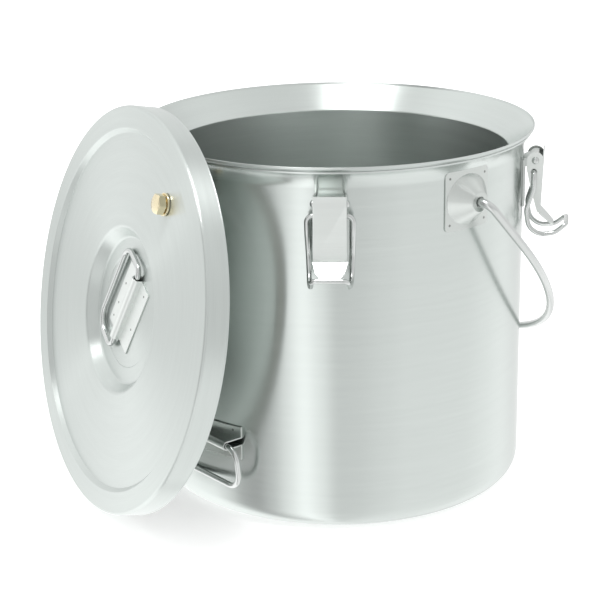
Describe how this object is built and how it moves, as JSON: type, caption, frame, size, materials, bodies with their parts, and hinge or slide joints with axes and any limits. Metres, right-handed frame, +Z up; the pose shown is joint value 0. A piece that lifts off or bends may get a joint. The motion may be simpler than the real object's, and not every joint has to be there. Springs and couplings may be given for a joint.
{
  "type": "insulated food transport container",
  "caption": "Double-walled stainless food container with flared rim, bail, toggle latches, tip handle, and a vented lid leaning on its rim.",
  "frame": {"origin": "centre of the flat base, on the surface that the container stands on", "axes": "+Z up along the vessel's axis; the bail's ears on +X and -X; the tip handle and the leaning lid on the -Y side"},
  "size_m": [0.4791, 0.4918, 0.3995],
  "materials": {
    "brushed": "brushed stainless steel",
    "bright": "bright stainless wire",
    "brass": "turned brass",
    "seal": "food-grade rubber",
    "foam": "rigid foam"
  },
  "bodies": {
    "container": {"outer_shell": "brushed", "outer_base": "brushed", "inner_vessel": "brushed", "vessel_insulation": "foam", "bail_ear_right": "brushed", "bail_ear_left": "brushed", "tip_handle_bracket": "brushed", "latch_bracket_1": "brushed", "latch_rivet_1": "bright", "latch_bracket_2": "brushed", "latch_rivet_2": "bright", "latch_bracket_3": "brushed", "latch_rivet_3": "bright", "latch_bracket_4": "brushed", "latch_rivet_4": "bright"},
    "bail": {"bail": "bright"},
    "tip_handle": {"tip_handle_loop": "bright"},
    "lid": {"lid_outer_skin": "brushed", "lid_inner_skin": "brushed", "lid_insulation": "foam", "lid_gasket": "seal", "lid_handle_bracket": "brushed", "valve_body": "brass", "valve_seal": "seal", "valve_nut": "brass"},
    "lid_handle": {"lid_handle_loop": "bright"},
    "valve_cap": {"valve_cap": "brass"},
    "lever_1": {"latch_lever_1": "brushed"},
    "hook_1": {"latch_wire_1": "bright"},
    "lever_2": {"latch_lever_2": "brushed"},
    "hook_2": {"latch_wire_2": "bright"},
    "lever_3": {"latch_lever_3": "brushed"},
    "hook_3": {"latch_wire_3": "bright"},
    "lever_4": {"latch_lever_4": "brushed"},
    "hook_4": {"latch_wire_4": "bright"}
  },
  "joints": [
    {"name": "bail_swing", "type": "hinge", "parent": "container", "child": "bail", "pos_m": [0, 0, 0.322], "axis": [1, 0, 0], "range_deg": [0, 180]},
    {"name": "tip_handle_swing", "type": "hinge", "parent": "container", "child": "tip_handle", "pos_m": [0, -0.197, 0.085], "axis": [-1, 0, 0], "range_deg": [0, 65]},
    {"name": "lid_slide", "type": "slide", "parent": "container", "child": "lid", "axis": [-0.1983, -0.9801, 0], "range_m": [0, 0.35]},
    {"name": "lid_handle_swing", "type": "hinge", "parent": "lid", "child": "lid_handle", "pos_m": [-0.05699, -0.22718, 0.20033], "axis": [0.4638, 0.0819, 0.8821], "range_deg": [0, 170]},
    {"name": "valve_cap_turn", "type": "hinge", "parent": "lid", "child": "valve_cap", "pos_m": [0.01687, -0.22518, 0.32241], "axis": [-0.1947, -0.962, 0.1917], "range_deg": [0, 360]},
    {"name": "lever_swing_1", "type": "hinge", "parent": "container", "child": "lever_1", "pos_m": [0.14905, -0.13515, 0.333], "axis": [0.6717, 0.7408, 0], "range_deg": [-110, 0]},
    {"name": "hook_swing_1", "type": "hinge", "parent": "lever_1", "child": "hook_1", "pos_m": [0.14816, -0.13434, 0.3216], "axis": [-0.6717, -0.7408, 0], "range_deg": [0, 170]},
    {"name": "lever_swing_2", "type": "hinge", "parent": "container", "child": "lever_2", "pos_m": [0.14905, 0.13515, 0.333], "axis": [-0.6717, 0.7408, 0], "range_deg": [-110, 0]},
    {"name": "hook_swing_2", "type": "hinge", "parent": "lever_2", "child": "hook_2", "pos_m": [0.14816, 0.13434, 0.3216], "axis": [0.6717, -0.7408, 0], "range_deg": [0, 170]},
    {"name": "lever_swing_3", "type": "hinge", "parent": "container", "child": "lever_3", "pos_m": [-0.14905, 0.13515, 0.333], "axis": [-0.6717, -0.7408, 0], "range_deg": [-110, 0]},
    {"name": "hook_swing_3", "type": "hinge", "parent": "lever_3", "child": "hook_3", "pos_m": [-0.14816, 0.13434, 0.3216], "axis": [0.6717, 0.7408, 0], "range_deg": [0, 170]},
    {"name": "lever_swing_4", "type": "hinge", "parent": "container", "child": "lever_4", "pos_m": [-0.14905, -0.13515, 0.333], "axis": [0.6717, -0.7408, 0], "range_deg": [-3, 0]},
    {"name": "hook_swing_4", "type": "hinge", "parent": "lever_4", "child": "hook_4", "pos_m": [-0.14816, -0.13434, 0.3216], "axis": [-0.6717, 0.7408, 0], "range_deg": [0, 4]}
  ]
}
